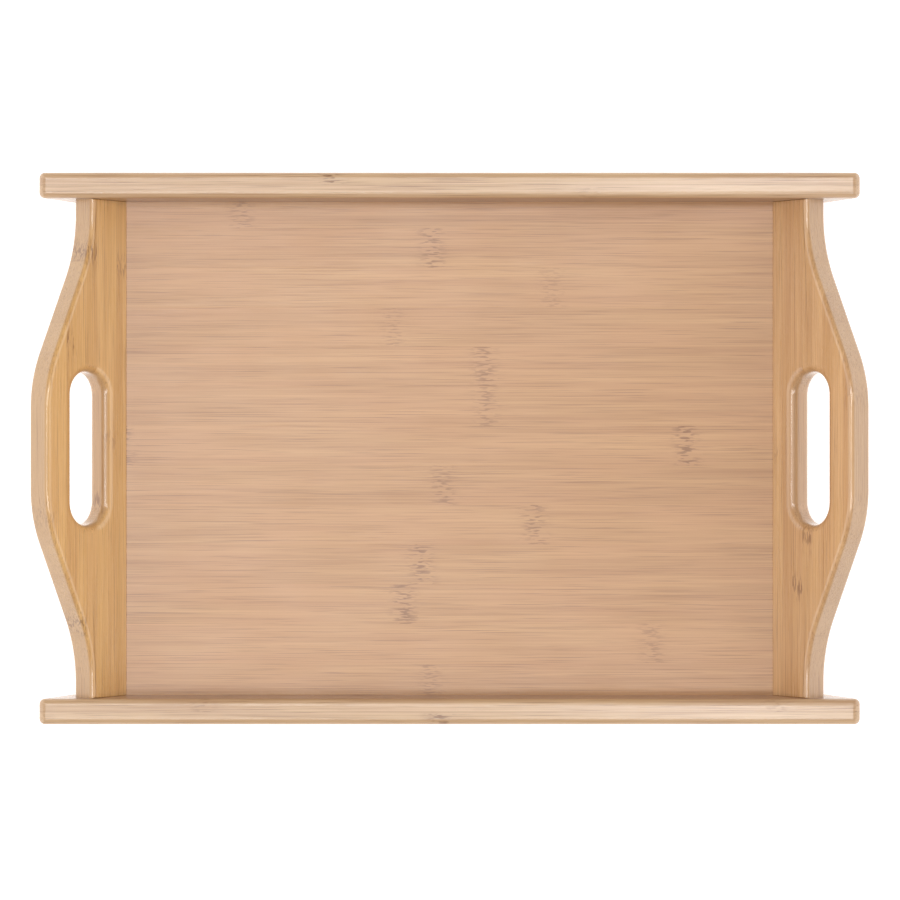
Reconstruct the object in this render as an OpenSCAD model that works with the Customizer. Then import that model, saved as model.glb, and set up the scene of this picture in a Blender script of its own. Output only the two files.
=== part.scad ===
// Bamboo serving tray: two long side rails, two leaning handle boards and a
// floor panel let into all four, held at the corners by wooden dowels.
// X runs along the rails, Y across them and Z up. The origin is on the table
// under the middle of the tray. Sizes are in millimetres.

/* [Side rails] */
// Length of a rail along its top
rail_l = 430; // [380:1:480]
// Width of the tray over the outer faces of the rails
tray_w = 289; // [240:1:340]
// Height of a rail
rail_h = 32; // [28:1:45]
// Thickness of a rail
rail_t = 13.5; // [12:0.5:18]
// Slope of a rail's cut ends, measured from the table
rail_slant = 63; // [50:1:80]
// Radius of a rail's rounded long edges
rail_round = 3; // [1:0.5:4]

/* [Handle boards] */
// Length of the floor between the feet of the handle boards
floor_l = 343.6; // [300:0.1:350]
// Thickness of a handle board
board_t = 14; // [12:0.5:16]
// Lean of a handle board, measured from the table
board_tilt = 52; // [45:1:65]
// Rise of a board along its slope, from the floor to its crest
crest_rise = 57.5; // [54:0.5:62]
// Rise of a board along its slope where it meets a rail
side_rise = 25; // [20:0.5:27]
// Length of the straight part of the crest
crest_l = 42; // [30:1:50]
// Radius where the crest turns down into a shoulder
crest_r = 68; // [50:1:75]
// Radius where a shoulder levels out beside the rail
shoulder_r = 80; // [60:1:82]
// Fall of a shoulder across the board
shoulder_angle = 25; // [24:1:30]

/* [Handle slots] */
// Length of a handle slot
slot_l = 80; // [70:1:90]
// Width of a handle slot
slot_w = 24; // [20:1:26]
// Height of a slot's middle along the slope, from the floor
slot_rise = 26.6; // [24:0.2:28]
// Radius of a slot's rounded edges
slot_round = 5; // [2:0.5:6]

/* [Floor panel] */
// Thickness of the floor panel
floor_t = 5; // [4:0.5:5]
// Height of the floor panel's upper face above the table
floor_z = 8; // [7:0.5:9]
// Depth of the grooves that hold the panel
groove_d = 4; // [2:0.5:5]

/* [Dowels] */
// Diameter of a corner dowel
dowel_d = 6; // [4:0.5:7]
// Length of a corner dowel
dowel_l = 28; // [24:1:34]
// Distance between the two dowels of a corner, along the board's slope
dowel_pitch = 15; // [12:1:16]

/* [Hidden] */
$fn = 96;

foot_x = floor_l / 2;
inner_y = tray_w / 2 - rail_t;
nose_r = 4;                // radius of a rail's upper nose, seen from the side
nose_x = rail_l / 2 - nose_r;
heel_x = nose_x + nose_r / sin(rail_slant) - (rail_h - nose_r) / tan(rail_slant);
corner_r = 3;              // radius of a rail's corners, seen from above
arc_step = 5;              // degrees between the points of an outline's arcs
low_dowel_rise = 4;        // lower dowel's height along the slope
hole_spare = 0.5;          // room for glue at each end of a dowel
dowel_in_rail = rail_t - 4.5;
spare = 1;                 // how far a cutter passes the face it cuts
foot_reach = 15;           // how far a board is drawn below the floor before its foot is cut
trim = 60;                 // size of the block that cuts a board's foot level

bamboo_light = [0.90, 0.78, 0.62];
bamboo_honey = [0.82, 0.64, 0.44];
bamboo_floor = [0.83, 0.66, 0.50];
beech = [0.87, 0.74, 0.56];

// points of an arc about [x, y], from angle a to angle b
function arc(x, y, r, a, b) =
    let (n = max(1, ceil(abs(b - a) / arc_step)))
    [for (i = [0:n]) [x + r * cos(a + (b - a) * i / n),
                      y + r * sin(a + (b - a) * i / n)]];

// an outline from its right half, drawn from its top middle to its lowest point
function both_sides(points) =
    concat(points, [for (i = [len(points) - 1:-1:0]) [-points[i][0], points[i][1]]]);

// half of a handle board's outline, from the crest's end down past the rail:
// an outward arc, a straight shoulder, an inward arc and the board's end
turn_drop = (crest_r + shoulder_r) * (1 - cos(shoulder_angle));
shoulder_l = (crest_rise - side_rise - turn_drop) / sin(shoulder_angle);
valley_y = crest_l / 2 + (crest_r + shoulder_r) * sin(shoulder_angle)
         + shoulder_l * cos(shoulder_angle);
half_board = concat(
    arc(crest_l / 2, crest_rise - crest_r, crest_r, 90, 90 - shoulder_angle),
    arc(valley_y, side_rise + shoulder_r, shoulder_r, 270 - shoulder_angle, 270),
    [[inner_y, side_rise], [inner_y, -foot_reach]]);

// moves a flat shape drawn across and up a board onto the right-hand board
module lean() {
    translate([foot_x, 0, floor_z])
        rotate([0, 90 - board_tilt, 0])
            rotate([90, 0, 90])
                children();
}

// a rectangle with rounded corners about the origin
module round_rect(w, h, r) {
    square([w - 2 * r, h], center = true);
    square([w, h - 2 * r], center = true);
    for (x = [-1, 1], y = [-1, 1])
        translate([x * (w / 2 - r), y * (h / 2 - r)]) circle(r = r);
}

module panel_block() {
    tongue = groove_d - floor_t / tan(board_tilt);
    translate([-foot_x - tongue, -inner_y - groove_d, floor_z - floor_t])
        cube([2 * (foot_x + tongue), 2 * (inner_y + groove_d), floor_t]);
}

// the two dowels of the right back corner, longer at both ends by extra
module dowel_pair(extra) {
    for (i = [0, 1])
        lean()
            translate([inner_y + dowel_in_rail - hole_spare + extra,
                       low_dowel_rise + i * dowel_pitch, board_t / 2])
                rotate([0, -90, 0])
                    cylinder(d = dowel_d, h = dowel_l + 2 * extra);
}

module corner(x, y) {
    mirror([x < 0 ? 1 : 0, 0, 0])
        mirror([0, y < 0 ? 1 : 0, 0])
            children();
}

module dowels(x, y) {
    color(beech) corner(x, y) dowel_pair(0);
}

module dowel_holes() {
    for (x = [-1, 1], y = [-1, 1]) corner(x, y) dowel_pair(hole_spare);
}

// a rail seen from the side: level top and bottom, ends that lean outwards
module rail_side() {
    polygon(both_sides(concat(
        arc(nose_x, rail_h - nose_r, nose_r, 90, rail_slant - 90),
        [[heel_x, 0]])));
}

module rail(y) {
    color(bamboo_light)
    difference() {
        intersection() {
            translate([-rail_l / 2, y, rail_h / 2])
                rotate([90, 0, 90])
                    linear_extrude(rail_l)
                        round_rect(rail_t, rail_h, rail_round);
            translate([0, y + rail_t, 0])
                rotate([90, 0, 0])
                    linear_extrude(2 * rail_t) rail_side();
            translate([0, y, -spare])
                linear_extrude(rail_h + 2 * spare)
                    round_rect(rail_l, rail_t, corner_r);
        }
        panel_block();
        dowel_holes();
    }
}

// half of the slot's cross-section: its wall flares out at both faces
module slot_flare() {
    difference() {
        translate([0, -spare])
            square([slot_w / 2 + slot_round, board_t + 2 * spare]);
        for (face = [0, 1])
            translate([slot_w / 2 + slot_round,
                       face * board_t + (1 - 2 * face) * slot_round])
                circle(r = slot_round);
        translate([slot_w / 2, slot_round])
            square([slot_round + spare, board_t - 2 * slot_round]);
    }
}

// cutter for a slot with round ends, through a board that lies flat
module slot_cutter() {
    run = slot_l - slot_w;
    for (end = [-1, 1])
        translate([end * run / 2, 0, 0]) rotate_extrude() slot_flare();
    translate([-run / 2, 0, 0])
        rotate([90, 0, 90])
            linear_extrude(run) {
                slot_flare();
                mirror([1, 0]) slot_flare();
            }
}

module handle_board(side) {
    color(bamboo_honey)
    mirror([side < 0 ? 1 : 0, 0, 0])
    difference() {
        lean()
            difference() {
                linear_extrude(board_t) polygon(both_sides(half_board));
                translate([0, slot_rise, 0]) slot_cutter();
            }
        translate([foot_x - trim / 2, -tray_w / 2, -trim])
            cube([trim, tray_w, trim]);
        panel_block();
        dowel_holes();
    }
}

module floor_panel() {
    color(bamboo_floor) panel_block();
}

floor_panel();
rail(rail_t / 2 - tray_w / 2);  // rail_front
rail(tray_w / 2 - rail_t / 2);  // rail_back
handle_board(-1);  // handle_board_left
handle_board(1);  // handle_board_right
dowels(-1, -1);  // dowels_front_left
dowels(1, -1);  // dowels_front_right
dowels(-1, 1);  // dowels_back_left
dowels(1, 1);  // dowels_back_right
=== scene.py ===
"""Bamboo serving tray: two side rails, two leaning handle boards, a floor panel and corner dowels."""
from math import cos, pi, radians, sin, tan

import bmesh
import bpy
import numpy as np
from mathutils import Matrix, Vector


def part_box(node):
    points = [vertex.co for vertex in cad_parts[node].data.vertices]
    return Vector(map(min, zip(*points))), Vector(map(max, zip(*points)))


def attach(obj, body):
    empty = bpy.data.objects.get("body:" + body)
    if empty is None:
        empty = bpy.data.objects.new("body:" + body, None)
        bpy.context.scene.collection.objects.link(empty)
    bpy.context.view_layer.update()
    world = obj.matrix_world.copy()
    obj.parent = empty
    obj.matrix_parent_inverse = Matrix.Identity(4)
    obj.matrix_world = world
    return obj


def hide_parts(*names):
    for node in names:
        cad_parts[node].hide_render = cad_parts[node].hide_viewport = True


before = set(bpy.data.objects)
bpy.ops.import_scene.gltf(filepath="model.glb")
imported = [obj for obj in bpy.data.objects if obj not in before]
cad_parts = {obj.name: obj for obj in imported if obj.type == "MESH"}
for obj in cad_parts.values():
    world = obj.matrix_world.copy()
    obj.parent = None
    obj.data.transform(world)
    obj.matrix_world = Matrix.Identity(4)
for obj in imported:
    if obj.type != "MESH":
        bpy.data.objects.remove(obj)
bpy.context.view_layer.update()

MM = 0.001
SUPPORT = 0.4 * MM          # distance of the ring that keeps a flat face flat beside a rounded edge
ROUND_STEPS = 9             # steps round a quarter turn
WELD = 1e-7                 # points closer than this are one
TOOL_WELD = 1e-6            # the same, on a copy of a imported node
HAIR = 1e-8                 # edges shorter than this are dissolved
SHARP_ANGLE = radians(35)   # faces that meet at more than this keep a crisp edge

# side rails
RAIL_LO, RAIL_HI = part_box("rail_back")
RAIL_T = RAIL_HI.y - RAIL_LO.y
RAIL_H = RAIL_HI.z
RAIL_SLANT = radians(63)    # slope of the cut ends
RAIL_ROUND = 3 * MM         # rounding of the long edges
NOSE_R = 4 * MM             # rounding of a rail's nose, seen from the side
CORNER_R = 3 * MM           # rounding of a rail's corners, seen from above
HEEL_R = 1.2 * MM           # easing of a cut end at the table

# floor panel
PANEL_LO, PANEL_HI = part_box("floor_panel")
FLOOR_Z = PANEL_HI.z
PANEL_EASE = 0.4 * MM

# handle boards, in their own plane: across, up the slope and outwards
INNER_Y = RAIL_LO.y
BOARD_TILT = radians(52)
BOARD_T = 14 * MM
FLOOR_L = 343.6 * MM
CREST_RISE = 57.5 * MM
SIDE_RISE = 25 * MM
CREST_L = 42 * MM
CREST_R = 68 * MM
SHOULDER_R = 80 * MM
SHOULDER_ANGLE = radians(25)
SLOT_L = 80 * MM
SLOT_W = 24 * MM
SLOT_RISE = 26.6 * MM
SLOT_ROUND = 5 * MM
EDGE_ROUND = 2.5 * MM       # rounding of a board's crest and shoulders
EDGE_EASE = 0.35 * MM       # easing of a board's foot and ends
EDGE_POINTS = 261           # points along a board's upper edge, and along its foot
END_DROP = np.array([0.12, 0.25, 0.4, 0.6, 0.8, 0.98])   # points down a board's end, 1 at the foot
FOOT_X = FLOOR_L / 2

# dowels
DOWEL_D = 6 * MM
FLUTES = 16
FLUTE_DEPTH = 0.22 * MM
DOWEL_CHAMFER = 0.9 * MM

# studio
CAMERA_RISE = 1.5           # of the lens above the floor panel
VIEW_WIDTH = 470.4 * MM     # what the frame takes in at the level of the rails' tops
SENSOR = 36.0
CAMERA_X, CAMERA_Y = 0.2 * MM, -0.8 * MM
SIDE_LIGHT, SKY_LIGHT = 1.64, 0.30      # of the studio's end walls, and of all the rest
SOFTBOX = ((-0.75, 0, 2.2), (1.4, 1.2), 4.5)        # place, size and power
STRIP_SIZE, STRIP_HEIGHT = (1.4, 0.09), 1.9
STRIP_X = -0.05
INNER_STRIP = (0.22, 4.4)   # distance from the middle, and power
OUTER_STRIP = (0.42, 3.4)
SWEEP_HALF = 3.0            # half size of the white sweep
SWEEP_CELLS = 8
SWEEP_DROP = 0.2 * MM       # the sweep lies this far under the tray
SWEEP_GLOW = 0.6


# Meshes

def edit_mesh(mesh, edit):
    """Opens a mesh, lets edit change it, and puts it back."""
    work = bmesh.new()
    work.from_mesh(mesh)
    edit(work)
    work.to_mesh(mesh)
    work.free()


def close_shell(work):
    """Merges doubled points and turns the faces outwards."""
    bmesh.ops.remove_doubles(work, verts=work.verts, dist=WELD)
    bmesh.ops.dissolve_degenerate(work, edges=work.edges, dist=HAIR)
    bmesh.ops.recalc_face_normals(work, faces=work.faces)


def join_triangles(work):
    """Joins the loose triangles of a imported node's copy."""
    bmesh.ops.remove_doubles(work, verts=work.verts, dist=TOOL_WELD)


def fill_gaps(work):
    """Fills the hair-thin gaps that a cut may leave."""
    bmesh.ops.holes_fill(work, edges=work.edges, sides=4)


def mesh_piece(name, points, faces):
    """A closed, smoothly shaded mesh object from points and faces."""
    mesh = bpy.data.meshes.new(name)
    mesh.from_pydata(points.reshape(-1, 3).tolist(), [], faces)
    edit_mesh(mesh, close_shell)
    mesh.shade_smooth()
    piece = bpy.data.objects.new(name, mesh)
    bpy.context.scene.collection.objects.link(piece)
    return piece


def grid_faces(rows, columns, wrap_rows=False):
    """Four-sided faces of a grid whose columns close on themselves, and whose rows may."""
    r = np.arange(rows if wrap_rows else rows - 1)[:, None]
    c = np.arange(columns)[None, :]
    up, on = (r + 1) % rows, (c + 1) % columns
    corners = [r * columns + c, r * columns + on, up * columns + on, up * columns + c]
    return np.stack(corners, axis=-1).reshape(-1, 4).tolist()


def quarter(radius, steps=ROUND_STEPS):
    """A quarter turn from a wall to a face: how far in from the wall, and how deep below the face."""
    turn = np.linspace(0, pi / 2, steps + 1)
    return radius * (1 - np.cos(turn)), radius * (1 - np.sin(turn))


def rounded_section(width, height, radius):
    """Closed outline of a rectangle about the origin with quarter-circle corners, and with
    one more point beside each corner on each flat side."""
    turn = np.linspace(0, pi / 2, ROUND_STEPS + 1)
    corner = np.stack([np.cos(turn), np.sin(turn)], axis=1) * radius
    corner = np.concatenate([[[radius, -SUPPORT]], corner, [[-SUPPORT, radius]]])
    corner += [width / 2 - radius, height / 2 - radius]
    mirrored = corner[::-1] * [-1, 1]
    return np.concatenate([corner, mirrored, -corner, -mirrored])


def bar(name, section, y, z, end_at, corner):
    """A bar along X. Its section is carried from end to end, and each point of the section stops
    at end_at(height) less the plan rounding of the corners. The end faces are the section drawn in
    to its own middle line, at the same end rule, so that nose, corners and end are one surface."""
    half_w, half_h = np.abs(section).max(axis=0)
    middle = np.array([max(0, half_w - half_h), max(0, half_h - half_w)])
    spine = np.clip(section, -middle, middle)
    turn = np.linspace(pi / 2, 0, ROUND_STEPS + 1)
    reach = min(half_w, half_h)
    shrink = np.concatenate([(reach - corner + corner * np.sin(turn)) / reach, [0.2, 0]])

    def end_x(cross):
        over = np.clip(np.abs(cross[..., 0]) - (half_w - corner), 0, corner)
        return end_at(cross[..., 1] + z) - (corner - np.sqrt(corner**2 - over**2))

    rings = spine + shrink[:, None, None] * (section - spine)
    cap = np.concatenate([end_x(rings)[..., None], rings], axis=-1)
    along = np.array([1 - SUPPORT / FOOT_X, 0.9, 0.6, 0.3, 0, -0.3, -0.6, -0.9])
    along = np.append(along, SUPPORT / FOOT_X - 1)
    walls = np.broadcast_to(cap[0], (len(along), *cap[0].shape)).copy()
    walls[..., 0] *= along[:, None]
    far_cap = cap * [-1, 1, 1]
    points = np.concatenate([cap[::-1], walls, far_cap]) + [0, y, z]
    return mesh_piece(name, points, grid_faces(len(points), len(section)))


def rail_end(height):
    """Where a rail ends at a height: a straight cut that leans outwards, below a quarter-round nose
    that it meets at a tangent, and above a small easing at the table."""
    nose_x, nose_z = RAIL_HI.x - NOSE_R, RAIL_H - NOSE_R
    slope = 1 / tan(RAIL_SLANT)
    cut_x = nose_x + NOSE_R / sin(RAIL_SLANT) + (height - nose_z) * slope
    nose = nose_x + np.sqrt(np.clip(NOSE_R**2 - (height - nose_z) ** 2, 0, None))
    low = np.clip(HEEL_R - height, 0, HEEL_R)
    heel = HEEL_R - np.sqrt(HEEL_R**2 - low**2)
    return np.where(height > nose_z - NOSE_R * cos(RAIL_SLANT), nose, cut_x - heel)


def board_top(across):
    """Height of a board's upper edge at a distance from its middle: level crest, outward arc,
    straight shoulder, inward arc, and level again beside the rail."""
    a = np.abs(across)
    s, c = sin(SHOULDER_ANGLE), cos(SHOULDER_ANGLE)
    drop = (CREST_R + SHOULDER_R) * (1 - c)
    straight = (CREST_RISE - SIDE_RISE - drop) / s
    arc_end = CREST_L / 2 + CREST_R * s
    shoulder_end = arc_end + straight * c
    valley = shoulder_end + SHOULDER_R * s
    over = np.clip(a - CREST_L / 2, 0, CREST_R * s)
    crest = CREST_RISE - CREST_R + np.sqrt(CREST_R**2 - over**2)
    shoulder = np.clip(a - arc_end, 0, straight * c) * tan(SHOULDER_ANGLE)
    short = np.clip(valley - a, 0, SHOULDER_R * s)
    hollow = SIDE_RISE + SHOULDER_R - np.sqrt(SHOULDER_R**2 - short**2)
    return np.where(a > shoulder_end, hollow, crest - shoulder)


def foot_at(outwards):
    """How far up the slope a board's foot is, so that it stands level on the table."""
    return (outwards * cos(BOARD_TILT) - FLOOR_Z) / sin(BOARD_TILT)


def board_outline():
    """Once round a board from its top left: outline points, the way in from the edge and the depth
    of the edge's rounding at each, and how far each goes down with the foot, from 0 to 1."""
    count, end_count = EDGE_POINTS, len(END_DROP)
    across = np.linspace(-INNER_Y, INNER_Y, count)
    top = np.stack([across, board_top(across)], axis=1)
    slope = np.gradient(top[:, 1], across)
    slope[[0, -1]] = 0
    way = np.stack([slope, -np.ones_like(slope)], axis=1) / np.sqrt(1 + slope**2)[:, None]
    end = np.stack([np.full(end_count, INNER_Y), np.full(end_count, SIDE_RISE)], axis=1)
    foot = np.stack([across[::-1], np.full(count, SIDE_RISE)], axis=1)
    outline = np.concatenate([top, end, foot, end * [-1, 1]])
    inwards = np.concatenate([
        way * EDGE_ROUND,
        np.tile([-EDGE_EASE, 0], (end_count, 1)),
        np.tile([0, EDGE_EASE], (count, 1)),
        np.tile([EDGE_EASE, 0], (end_count, 1)),
    ])
    corners = np.array([0, count - 1, count + end_count, 2 * count + end_count - 1])
    inwards[corners, 0] = np.array([1, -1, -1, 1]) * EDGE_EASE
    depth = np.full(len(outline), EDGE_EASE)
    depth[:count] = EDGE_ROUND
    sink = np.concatenate([np.zeros(count), END_DROP, np.ones(count), END_DROP[::-1]])
    return outline, inwards, depth, sink


def handle_board(name, side):
    """A board as one band carried round its slot: slot wall, rounded lip, inner face, outer edge,
    outer face, lip and back to the wall. Each point of the outline is joined to the nearest point
    of the slot. The band is then laid on the slope, with its foot cut level."""
    outline, inwards, depth, sink = board_outline()
    run = (SLOT_L - SLOT_W) / 2
    centre = np.stack([np.clip(outline[:, 0], -run, run), np.full(len(outline), SLOT_RISE)], axis=1)
    lowered = outline + np.stack([0 * sink, sink * (foot_at(0) - SIDE_RISE)], axis=1)
    away = lowered - centre
    away /= np.linalg.norm(away, axis=1)[:, None]
    wall = centre + away * SLOT_W / 2

    def ring(flat, outwards):
        depth_here = np.broadcast_to(outwards, (len(flat),))
        return np.concatenate([flat, depth_here[:, None]], axis=1)

    def edge_ring(inset, outwards):
        flat = outline + inwards * inset
        flat[:, 1] += sink * (foot_at(outwards) - SIDE_RISE)
        return ring(flat, outwards)

    in_from, below = quarter(1.0)
    lips = [ring(wall + away * SLOT_ROUND * i, SLOT_ROUND * b) for i, b in zip(in_from, below)]
    edges = [edge_ring(i, depth * b) for i, b in zip(in_from, below)]
    outer_lips = [r * [1, 1, -1] + [0, 0, BOARD_T] for r in lips]
    outer_edges = [edge_ring(i, BOARD_T - depth * b) for i, b in zip(in_from, below)]

    def across_face(a, b):
        length = np.linalg.norm(b - a, axis=1)[:, None]
        near = np.clip(SUPPORT / length, 0, 0.3)
        return [a + (b - a) * share for share in (near, 0.35, 0.65, 1 - near)]

    rings = lips + across_face(lips[-1], edges[-1]) + edges[::-1]
    rings += outer_edges + across_face(outer_edges[-1], outer_lips[-1]) + outer_lips[::-1]
    band = np.array(rings)
    a, s, c = band[..., 0], band[..., 1], band[..., 2]
    x = FOOT_X + s * cos(BOARD_TILT) + c * sin(BOARD_TILT)
    z = FLOOR_Z + s * sin(BOARD_TILT) - c * cos(BOARD_TILT)
    points = np.stack([side * x, a, z], axis=-1)
    return mesh_piece(name, points, grid_faces(len(band), len(outline), wrap_rows=True))


def dowel_pair(name):
    """Two fluted pins along Y. A pin's section is a circle whose radius dips in a cosine, once for
    each flute, and it is carried along with a chamfer drawn in at both ends."""
    low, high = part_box(name)
    radius = DOWEL_D / 2
    turn = np.linspace(0, 2 * pi, 8 * FLUTES, endpoint=False)
    chamfer = DOWEL_CHAMFER
    stations = np.array([0, 0, chamfer * 0.3, chamfer, chamfer + SUPPORT])
    length = high.y - low.y
    along = np.concatenate([stations, [length / 2], length - stations[::-1]])
    girth = np.array([0, 0.62, 0.78, 1, 1])
    size = np.concatenate([girth, [1], girth[::-1]])[:, None]
    reach = size * (radius - FLUTE_DEPTH * (1 - np.cos(FLUTES * turn)) / 2)
    pin = np.stack([
        reach * np.cos(turn),
        np.broadcast_to(along[:, None] + low.y, reach.shape),
        reach * np.sin(turn),
    ], axis=-1)
    inner_x, outer_x = low.x + radius, high.x - radius
    if low.x < 0:
        inner_x, outer_x = outer_x, inner_x
    lower = [inner_x, 0, low.z + radius]
    upper = [outer_x, 0, high.z - radius]
    faces = np.array(grid_faces(len(pin), len(turn)))
    both = np.concatenate([faces, faces + pin.shape[0] * pin.shape[1]]).tolist()
    return mesh_piece(name + "_pins", np.stack([pin + lower, pin + upper]), both)


def cut(piece, *nodes):
    """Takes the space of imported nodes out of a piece, for the panel's groove and the dowels' holes,
    then closes any hair-thin gap, and shades the cut edges crisp and the flat faces flat."""
    for node in nodes:
        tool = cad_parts[node].copy()
        tool.data = tool.data.copy()
        tool.parent = None
        edit_mesh(tool.data, join_triangles)
        bpy.context.scene.collection.objects.link(tool)
        tool.hide_viewport = False
        step = piece.modifiers.new("cut", "BOOLEAN")
        step.operation = "DIFFERENCE"
        step.solver = "EXACT"
        step.object = tool
        bpy.context.view_layer.update()
        shaped = piece.evaluated_get(bpy.context.evaluated_depsgraph_get())
        mesh = bpy.data.meshes.new_from_object(shaped)
        piece.modifiers.clear()
        piece.data = mesh
        bpy.data.objects.remove(tool)
    piece.data.name = piece.name
    edit_mesh(piece.data, fill_gaps)
    for stale in ("custom_normal", "sharp_edge"):
        if stale in piece.data.attributes:
            piece.data.attributes.remove(piece.data.attributes[stale])
    piece.data.set_sharp_from_angle(angle=SHARP_ANGLE)
    even = piece.modifiers.new("even_faces", "WEIGHTED_NORMAL")
    even.keep_sharp = True
    return piece


# Shader helpers

def feed(tree, socket, value):
    """Links a socket to another, or sets its number."""
    if isinstance(value, bpy.types.NodeSocket):
        tree.links.new(value, socket)
    else:
        socket.default_value = value


def calc(tree, operation, *values, clamp=False):
    """A Math node over sockets or numbers. Gives its result."""
    step = tree.nodes.new("ShaderNodeMath")
    step.operation = operation
    step.use_clamp = clamp
    for socket, value in zip(step.inputs, values):
        feed(tree, socket, value)
    return step.outputs[0]


def vector(tree, operation, *values):
    """A Vector Math node over sockets or triples. Gives its vector."""
    step = tree.nodes.new("ShaderNodeVectorMath")
    step.operation = operation
    for socket, value in zip(step.inputs, values):
        feed(tree, socket, value)
    return step.outputs[0]


def spread(tree, value, low, high, to_low=0.0, to_high=1.0):
    """Maps a range smoothly onto another, and holds it at both ends."""
    step = tree.nodes.new("ShaderNodeMapRange")
    step.interpolation_type = "SMOOTHSTEP"
    for socket, number in zip(step.inputs[1:5], (low, high, to_low, to_high)):
        socket.default_value = number
    feed(tree, step.inputs[0], value)
    return step.outputs[0]


def noise(tree, place, size, detail=3.0, roughness=0.55):
    """Noise whose features measure about size, in metres along each axis."""
    stretched = vector(tree, "DIVIDE", place, size)
    step = tree.nodes.new("ShaderNodeTexNoise")
    step.inputs["Scale"].default_value = 1.0
    step.inputs["Detail"].default_value = detail
    step.inputs["Roughness"].default_value = roughness
    feed(tree, step.inputs["Vector"], stretched)
    return step.outputs[0]


def blend_colour(tree, share, first, second):
    """A colour mix by share, from 0 to 1."""
    step = tree.nodes.new("ShaderNodeMix")
    step.data_type = "RGBA"
    feed(tree, step.inputs[0], share)
    feed(tree, step.inputs[6], first)
    feed(tree, step.inputs[7], second)
    return step.outputs[2]


def new_group(name, takes, gives):
    """An empty shader node group with named sockets: takes and gives are (name, type) pairs."""
    group = bpy.data.node_groups.new(name, "ShaderNodeTree")
    for direction, sockets in (("INPUT", takes), ("OUTPUT", gives)):
        for label, kind in sockets:
            group.interface.new_socket(label, in_out=direction, socket_type="NodeSocket" + kind)
    entry = group.nodes.new("NodeGroupInput")
    leave = group.nodes.new("NodeGroupOutput")
    return group, entry.outputs, leave.inputs


def place_group(tree, group, **values):
    """Puts a group in a material with its own values. Gives its outputs."""
    step = tree.nodes.new("ShaderNodeGroup")
    step.node_tree = group
    for label, value in values.items():
        feed(tree, step.inputs[label], value)
    return step.outputs


def srgb(red, green, blue):
    """A linear colour with alpha from 0 to 255 display values."""
    display = np.array([red, green, blue]) / 255
    linear = np.where(display <= 0.04045, display / 12.92, ((display + 0.055) / 1.055) ** 2.4)
    return (*linear.tolist(), 1.0)


# Bamboo

BROAD_GRAIN = (160 * MM, 5.5 * MM, 5.5 * MM)        # sizes along and across the grain
FINE_GRAIN = (100 * MM, 0.80 * MM, 0.80 * MM)
FIBRE_GRAIN = (45 * MM, 0.45 * MM, 0.45 * MM)
MOOD_PATCH = (70 * MM, 18 * MM, 18 * MM)
STRIP_SHIFT = 9.0           # how far the noise of one strip may lie from the next one's
JOINT_WIDTH = 0.28 * MM     # of the dark line at a glued joint, to each side
KNUCKLE_EVERY = 0.30        # distance between the knuckles of one strip
KNUCKLE_REACH = 6.0 * MM    # half length of a knuckle's mark
KNUCKLE_DASH = (6.0 * MM, 0.9 * MM, 0.9 * MM)
KNUCKLE_SLANT = 0.006       # of a mark across its strip, as a share of KNUCKLE_EVERY
EDGE_SHADE_FROM = 5.6 * MM        # depth in a board's own frame, past the inner face, from which painted shade and sheen cover its edges


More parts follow.
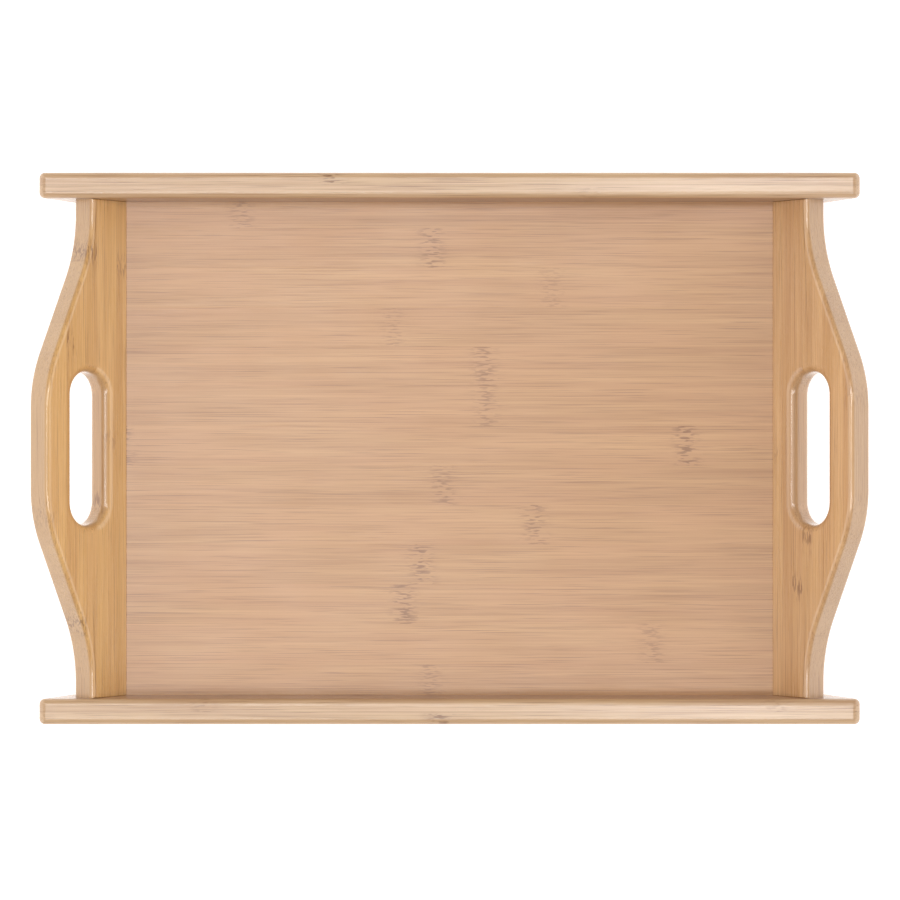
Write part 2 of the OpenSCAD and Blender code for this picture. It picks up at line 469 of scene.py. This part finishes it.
def make_bamboo_group():
    """Laminated bamboo along X: strips side by side in Y and plies in Z. A strip's number seeds its
    tone and shifts its grain, so that streaks, fibres and knuckles stop at each glued joint."""
    group, take, give = new_group(
        "bamboo",
        [("Place", "Vector"), ("Strip", "Float"), ("Ply", "Float"), ("Seed", "Float")],
        [("Tone", "Float"), ("Streak", "Float"), ("Fibre", "Float"), ("Joint", "Float"),
         ("Knuckle", "Float"), ("Mood", "Float"), ("Height", "Float")],
    )
    split = group.nodes.new("ShaderNodeSeparateXYZ")
    feed(group, split.inputs[0], take["Place"])
    x, y, z = split.outputs
    row = calc(group, "DIVIDE", y, take["Strip"])
    layer = calc(group, "DIVIDE", z, take["Ply"])
    label = group.nodes.new("ShaderNodeCombineXYZ")
    for socket, value in zip(label.inputs, (row, layer)):
        feed(group, socket, calc(group, "FLOOR", value))
    feed(group, label.inputs[2], take["Seed"])
    dice = group.nodes.new("ShaderNodeTexWhiteNoise")
    feed(group, dice.inputs["Vector"], label.outputs[0])
    chance = group.nodes.new("ShaderNodeSeparateXYZ")
    feed(group, chance.inputs[0], dice.outputs["Color"])
    shift = vector(group, "SCALE", dice.outputs["Color"])
    shift.node.inputs["Scale"].default_value = STRIP_SHIFT
    place = vector(group, "ADD", take["Place"], shift)

    def edge(value, size):
        """Distance to the nearest joint, in metres."""
        part = calc(group, "FRACT", value)
        near = calc(group, "MINIMUM", part, calc(group, "SUBTRACT", 1.0, part))
        return calc(group, "MULTIPLY", near, size)

    gap = calc(group, "MINIMUM", edge(row, take["Strip"]), edge(layer, take["Ply"]))
    joint = spread(group, gap, 0.03 * MM, JOINT_WIDTH, 1.0, 0.0)
    broad = noise(group, place, BROAD_GRAIN, 2.0)
    fine = noise(group, place, FINE_GRAIN, 3.0, 0.65)
    streak = calc(group, "MULTIPLY_ADD", fine, 0.55, calc(group, "MULTIPLY", broad, 0.45))
    hair = noise(group, place, FIBRE_GRAIN, 2.0, 0.6)
    fibre = spread(group, hair, 0.54, 0.70)

    turn = calc(group, "ADD", calc(group, "DIVIDE", x, KNUCKLE_EVERY), chance.outputs[0])
    bow = calc(group, "MULTIPLY", calc(group, "SUBTRACT", calc(group, "FRACT", row), 0.5), KNUCKLE_SLANT)
    off = calc(group, "SUBTRACT", calc(group, "FRACT", calc(group, "ADD", turn, bow)), 0.5)
    far = calc(group, "DIVIDE", calc(group, "MULTIPLY", off, KNUCKLE_EVERY), KNUCKLE_REACH)
    bell = calc(group, "EXPONENT", calc(group, "MULTIPLY", calc(group, "MULTIPLY", far, far), -1.0))
    dash = spread(group, noise(group, place, KNUCKLE_DASH, 1.0), 0.50, 0.60)
    mark = calc(group, "MULTIPLY_ADD", dash, 0.95, 0.05)
    strong = spread(group, chance.outputs[1], 0.05, 0.9, 0.35, 1.0)
    knuckle = calc(group, "MULTIPLY", calc(group, "MULTIPLY", bell, mark), strong)

    relief = calc(group, "MULTIPLY_ADD", fine, 0.5, calc(group, "MULTIPLY", fibre, -0.35))
    relief = calc(group, "MULTIPLY_ADD", joint, -0.4, relief)
    relief = calc(group, "MULTIPLY_ADD", knuckle, -0.3, relief)
    mood = noise(group, place, MOOD_PATCH, 2.0)
    results = (dice.outputs["Value"], streak, fibre, joint, knuckle, mood, relief)
    for socket, value in zip(give, results):
        feed(group, socket, value)
    return group


def make_lacquer_group():
    """Satin lacquer: slow pools of gloss, brush-fine haze along X and a few hairline scratches."""
    group, take, give = new_group(
        "lacquer", [("Place", "Vector"), ("Wear", "Float")], [("Gloss", "Float"), ("Scratch", "Float")],
    )
    pools = noise(group, take["Place"], (0.05, 0.03, 0.03), 2.0)
    haze = noise(group, take["Place"], (0.02, 0.6 * MM, 0.6 * MM), 3.0)
    lines = noise(group, take["Place"], (0.035, 0.35 * MM, 0.35 * MM), 1.0)
    patches = spread(group, noise(group, take["Place"], (0.06, 0.05, 0.05), 2.0), 0.50, 0.68)
    scratch = calc(group, "MULTIPLY", spread(group, lines, 0.70, 0.78), patches)
    scratch = calc(group, "MULTIPLY", scratch, take["Wear"])
    gloss = calc(group, "MULTIPLY_ADD", pools, 0.5, calc(group, "MULTIPLY", haze, 0.5))
    feed(group, give["Gloss"], gloss)
    feed(group, give["Scratch"], scratch)
    return group


BAMBOO = make_bamboo_group()
LACQUER = make_lacquer_group()


def bamboo_material(name, at, axes, pale, deep, blush, mark, strip, ply, seed, tone, streak,
                    fibre, joint, gloss, coat, haze, relief, edge_shade=None):
    """Lacquered bamboo. The grain runs along the first of axes, the strips lie side by side along
    the second, and at is a point on a joint. The last colour paints shade and sheen on a board's edges."""
    material = bpy.data.materials.new(name)
    material.use_nodes = True
    tree = material.node_tree
    tree.nodes.clear()
    shader = tree.nodes.new("ShaderNodeBsdfPrincipled")
    out = tree.nodes.new("ShaderNodeOutputMaterial")
    feed(tree, out.inputs["Surface"], shader.outputs[0])
    where = tree.nodes.new("ShaderNodeTexCoord")
    turned = tree.nodes.new("ShaderNodeMapping")
    turned.vector_type = "TEXTURE"
    turned.inputs["Location"].default_value = at
    turned.inputs["Rotation"].default_value = Matrix(axes).transposed().to_euler()
    feed(tree, turned.inputs["Vector"], where.outputs["Object"])
    place = turned.outputs[0]
    wood = place_group(tree, BAMBOO, Place=place, Strip=strip, Ply=ply, Seed=seed)
    film = place_group(tree, LACQUER, Place=place, Wear=1.0)

    share = calc(tree, "MULTIPLY", calc(tree, "SUBTRACT", wood["Tone"], 0.5), tone)
    share = calc(tree, "MULTIPLY_ADD", calc(tree, "SUBTRACT", wood["Streak"], 0.5), streak, share)
    share = calc(tree, "ADD", share, 0.5, clamp=True)
    colour = blend_colour(tree, share, pale, deep)
    colour = blend_colour(tree, spread(tree, wood["Mood"], 0.35, 0.65, 0.0, 0.35), colour, blush)
    # Painted shade and sheen: a greyer, darker tone past that depth, on a board's top edge, ends and
    # outer face.
    if edge_shade:
        depth = tree.nodes.new("ShaderNodeSeparateXYZ")
        feed(tree, depth.inputs[0], place)
        edge_shade_mask = spread(tree, depth.outputs[2], EDGE_SHADE_FROM, EDGE_SHADE_FROM + 2 * MM)
        colour = blend_colour(tree, calc(tree, "MULTIPLY", edge_shade_mask, 0.6), colour, edge_shade)
    colour = blend_colour(tree, calc(tree, "MULTIPLY", wood["Fibre"], fibre), colour, mark)
    colour = blend_colour(tree, calc(tree, "MULTIPLY", wood["Knuckle"], 0.75), colour, mark)
    colour = blend_colour(tree, calc(tree, "MULTIPLY", wood["Joint"], joint), colour, mark)
    feed(tree, shader.inputs["Base Color"], colour)

    rough = spread(tree, film["Gloss"], 0.3, 0.7, gloss - 0.05, gloss + 0.07)
    rough = calc(tree, "MULTIPLY_ADD", film["Scratch"], 0.15, rough)
    rough = calc(tree, "MULTIPLY_ADD", wood["Joint"], 0.10, rough)
    feed(tree, shader.inputs["Roughness"], rough)
    shader.inputs["Coat Weight"].default_value = coat
    shader.inputs["Coat Roughness"].default_value = haze
    height = calc(tree, "MULTIPLY_ADD", film["Scratch"], -0.4, wood["Height"])
    bump = tree.nodes.new("ShaderNodeBump")
    bump.inputs["Strength"].default_value = 0.35
    bump.inputs["Distance"].default_value = relief
    feed(tree, bump.inputs["Height"], height)
    feed(tree, shader.inputs["Normal"], bump.outputs[0])
    return material


ALONG_X = ((1, 0, 0), (0, 1, 0), (0, 0, 1))


def board_axes(side):
    """Grain along the board's length, strips up its slope, plies through its thickness."""
    up = (side * cos(BOARD_TILT), 0, sin(BOARD_TILT))
    grain = (0, side, 0)
    return (grain, up, tuple(Vector(grain).cross(Vector(up))))


def panel_material():
    """Wide honey strips whose joints don't show, in a thin satin lacquer."""
    return bamboo_material(
        "bamboo_panel", (0, PANEL_LO.y, PANEL_LO.z), ALONG_X,
        srgb(204, 156, 107), srgb(177, 127, 81), srgb(200, 147, 103), srgb(130, 82, 43),
        strip=21 * MM, ply=10 * MM, seed=3.0, tone=0.25, streak=3.2, fibre=0.48, joint=0.0,
        gloss=0.34, coat=0.55, haze=0.30, relief=0.07 * MM,
    )


def rail_material(name, y, seed):
    """Pale bamboo with one joint along the middle of the rail, in a thick gloss lacquer."""
    return bamboo_material(
        name, (0, y, -2 * MM), ALONG_X,
        srgb(210, 174, 138), srgb(186, 146, 108), srgb(207, 172, 128), srgb(120, 76, 42),
        strip=RAIL_T / 2, ply=19 * MM, seed=seed, tone=0.35, streak=4.2, fibre=0.5, joint=0.40,
        gloss=0.42, coat=0.8, haze=0.12, relief=0.16 * MM,
    )


def board_material(name, side, seed):
    """Golden strips up the board's slope, a shade browner on the right; painted shade and sheen on its
    edges.
    """
    shades = ((226, 178, 116), (195, 144, 84), (208, 160, 92))
    if side > 0:
        shades = ((215, 169, 119), (186, 137, 89), (199, 153, 97))
    return bamboo_material(
        name, (side * (FOOT_X - 4 * MM), 0, FLOOR_Z + 3 * MM), board_axes(side),
        *(srgb(*shade) for shade in shades), srgb(124, 80, 46),
        strip=7.3 * MM, ply=19 * MM, seed=seed, tone=0.45, streak=3.4, fibre=0.42, joint=0.08,
        # the last colour on the next line is painted shade and sheen on the board's edges
        gloss=0.28, coat=1.0, haze=0.12, relief=0.09 * MM, edge_shade=srgb(178, 142, 106),
    )


def dowel_material():
    """Plain turned beech, unlacquered, with short flecks along the pin."""
    material = bamboo_material(
        "dowel_wood", (0, 0, 0), ((0, 1, 0), (-1, 0, 0), (0, 0, 1)),
        srgb(222, 190, 150), srgb(200, 160, 118), srgb(214, 176, 132), srgb(150, 104, 68),
        strip=40 * MM, ply=40 * MM, seed=8.0, tone=0.1, streak=2.0, fibre=0.3, joint=0.0,
        gloss=0.6, coat=0.0, haze=0.3, relief=0.06 * MM,
    )
    return material


# The tray

def finish_piece(piece, material, slot, *nodes):
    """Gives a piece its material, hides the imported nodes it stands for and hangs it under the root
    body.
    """
    piece.data.materials.clear()
    piece.data.materials.append(material)
    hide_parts(*nodes)
    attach(piece, "root")


def build_rail(name, node, side, seed):
    """A side rail: side is -1 in front and 1 at the back."""
    y = side * (RAIL_LO.y + RAIL_HI.y) / 2
    section = rounded_section(RAIL_T, RAIL_H, RAIL_ROUND)
    piece = bar(name, section, y, RAIL_H / 2, rail_end, CORNER_R)
    word = "back" if side > 0 else "front"
    cut(piece, "floor_panel", f"dowels_{word}_left", f"dowels_{word}_right")
    finish_piece(piece, rail_material("bamboo_" + name, y, seed), "bamboo_rail", node)


def build_board(name, node, side, seed):
    """A handle board: side is -1 on the left and 1 on the right."""
    piece = handle_board(name, side)
    word = "right" if side > 0 else "left"
    cut(piece, "floor_panel", f"dowels_front_{word}", f"dowels_back_{word}")
    finish_piece(piece, board_material("bamboo_" + name, side, seed), "bamboo_board", node)


def panel_end(height):
    """Where the panel ends at a height: a square end."""
    return np.full_like(height, PANEL_HI.x)


def build_panel():
    """The floor panel, one slab that reaches into the grooves."""
    size = PANEL_HI - PANEL_LO
    section = rounded_section(size.y, size.z, PANEL_EASE)
    piece = bar("tray_floor", section, 0, PANEL_LO.z + size.z / 2, panel_end, PANEL_EASE)
    finish_piece(piece, panel_material(), "bamboo_panel", "floor_panel")


def build_tray():
    """Both rails, both boards, the panel and the dowels of the four corners."""
    build_rail("front_rail", "rail_front", -1, 11.0)
    build_rail("back_rail", "rail_back", 1, 12.0)
    build_board("left_board", "handle_board_left", -1, 21.0)
    build_board("right_board", "handle_board_right", 1, 22.0)
    build_panel()
    wood = dowel_material()
    for row in ("front", "back"):
        for end in ("left", "right"):
            node = f"dowels_{row}_{end}"
            finish_piece(dowel_pair(node), wood, "dowel_wood", node)


# Studio

def build_floor():
    """A wide white sweep that glows a little, so that no shadow shows on it."""
    line = np.linspace(-SWEEP_HALF, SWEEP_HALF, SWEEP_CELLS + 1)
    x, y = np.meshgrid(line, line, indexing="ij")
    points = np.stack([x, y, np.full_like(x, -SWEEP_DROP)], axis=-1)
    row, column = np.meshgrid(np.arange(SWEEP_CELLS), np.arange(SWEEP_CELLS), indexing="ij")
    first = (row * len(line) + column).ravel()
    across = first + len(line)
    faces = np.stack([first, across, across + 1, first + 1], axis=1).tolist()
    mesh = bpy.data.meshes.new("studio_floor")
    mesh.from_pydata(points.reshape(-1, 3).tolist(), [], faces)
    floor = bpy.data.objects.new("studio_floor", mesh)
    bpy.context.scene.collection.objects.link(floor)
    paper = bpy.data.materials.new("studio_paper")
    paper.use_nodes = True
    shader = paper.node_tree.nodes["Principled BSDF"]
    shader.inputs["Base Color"].default_value = (0.9, 0.9, 0.9, 1)
    shader.inputs["Roughness"].default_value = 0.9
    shader.inputs["Specular IOR Level"].default_value = 0.0
    shader.inputs["Emission Color"].default_value = (1, 1, 1, 1)
    shader.inputs["Emission Strength"].default_value = SWEEP_GLOW
    mesh.materials.append(paper)


def softbox(name, place, aim, size, power):
    """A rectangular area light at place, turned to aim."""
    light = bpy.data.lights.new(name, "AREA")
    light.shape = "RECTANGLE"
    light.size, light.size_y = size
    light.energy = power
    lamp = bpy.data.objects.new(name, light)
    lamp.location = place
    lamp.rotation_euler = (Vector(aim) - Vector(place)).to_track_quat("-Z", "Y").to_euler()
    bpy.context.scene.collection.objects.link(lamp)


def build_lights():
    """Bright end walls that light the leaning boards, a softbox above, and two narrow strips over
    each rail that draw the glints along the rounded edges."""
    world = bpy.data.worlds.new("studio")
    world.use_nodes = True
    tree = world.node_tree
    where = tree.nodes.new("ShaderNodeTexCoord")
    split = tree.nodes.new("ShaderNodeSeparateXYZ")
    feed(tree, split.inputs[0], where.outputs["Generated"])
    sideways = calc(tree, "ABSOLUTE", split.outputs[0])
    strength = spread(tree, sideways, 0.5, 0.85, SKY_LIGHT, SIDE_LIGHT)
    feed(tree, tree.nodes["Background"].inputs["Strength"], strength)
    tree.nodes["Background"].inputs["Color"].default_value = (1, 1, 1, 1)
    bpy.context.scene.world = world
    tray = (0, 0, 0)
    place, size, power = SOFTBOX
    softbox("softbox_above", place, tray, size, power)
    for side, word in ((-1, "near"), (1, "far")):
        for name, (away, power) in (("inner", INNER_STRIP), ("outer", OUTER_STRIP)):
            place = (STRIP_X, side * away, STRIP_HEIGHT)
            softbox(f"{name}_strip_{word}", place, tray, STRIP_SIZE, power)


def build_camera():
    """Straight above the tray, with a lens that takes in VIEW_WIDTH at the rails' tops."""
    data = bpy.data.cameras.new("camera")
    height = FLOOR_Z + CAMERA_RISE
    data.sensor_width = SENSOR
    data.lens = SENSOR / VIEW_WIDTH * (height - RAIL_H)
    camera = bpy.data.objects.new("camera", data)
    camera.location = (CAMERA_X, CAMERA_Y, height)
    bpy.context.scene.collection.objects.link(camera)
    bpy.context.scene.camera = camera


build_tray()
build_floor()
build_lights()
build_camera()
bpy.context.scene.view_settings.view_transform = "Standard"
